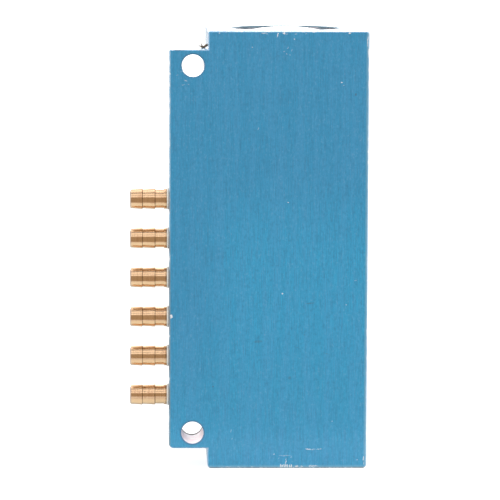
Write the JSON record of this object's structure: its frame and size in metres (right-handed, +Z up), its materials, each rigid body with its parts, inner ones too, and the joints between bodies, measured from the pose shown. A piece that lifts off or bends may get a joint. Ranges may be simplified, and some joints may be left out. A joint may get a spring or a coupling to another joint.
{
  "type": "pneumatic distribution block",
  "caption": "Anodised pneumatic distribution block: a plugged supply gallery, a slim mounting flange with two screw holes and a row of brass hose barbs.",
  "frame": {"origin": "centre of the supply port's mouth in the bottom end face, on the gallery's axis", "axes": "+Z up along the gallery's axis towards the domed plug; -Y out of the mounting face; -X the way the hose barbs point"},
  "size_m": [0.0479, 0.032, 0.0887],
  "materials": {
    "anodised_aluminium": "brushed, blue anodised",
    "plug_steel": "pressed, bright zinc",
    "turned_brass": "turned",
    "seal_plastic": "natural"
  },
  "bodies": {
    "root": {"distribution_block": "anodised_aluminium", "gallery_plug": "plug_steel", "hose_barb_1": "turned_brass", "barb_seal_1": "seal_plastic", "hose_barb_2": "turned_brass", "barb_seal_2": "seal_plastic", "hose_barb_3": "turned_brass", "barb_seal_3": "seal_plastic", "hose_barb_4": "turned_brass", "barb_seal_4": "seal_plastic", "hose_barb_5": "turned_brass", "barb_seal_5": "seal_plastic", "hose_barb_6": "turned_brass", "barb_seal_6": "seal_plastic"}
  },
  "joints": []
}
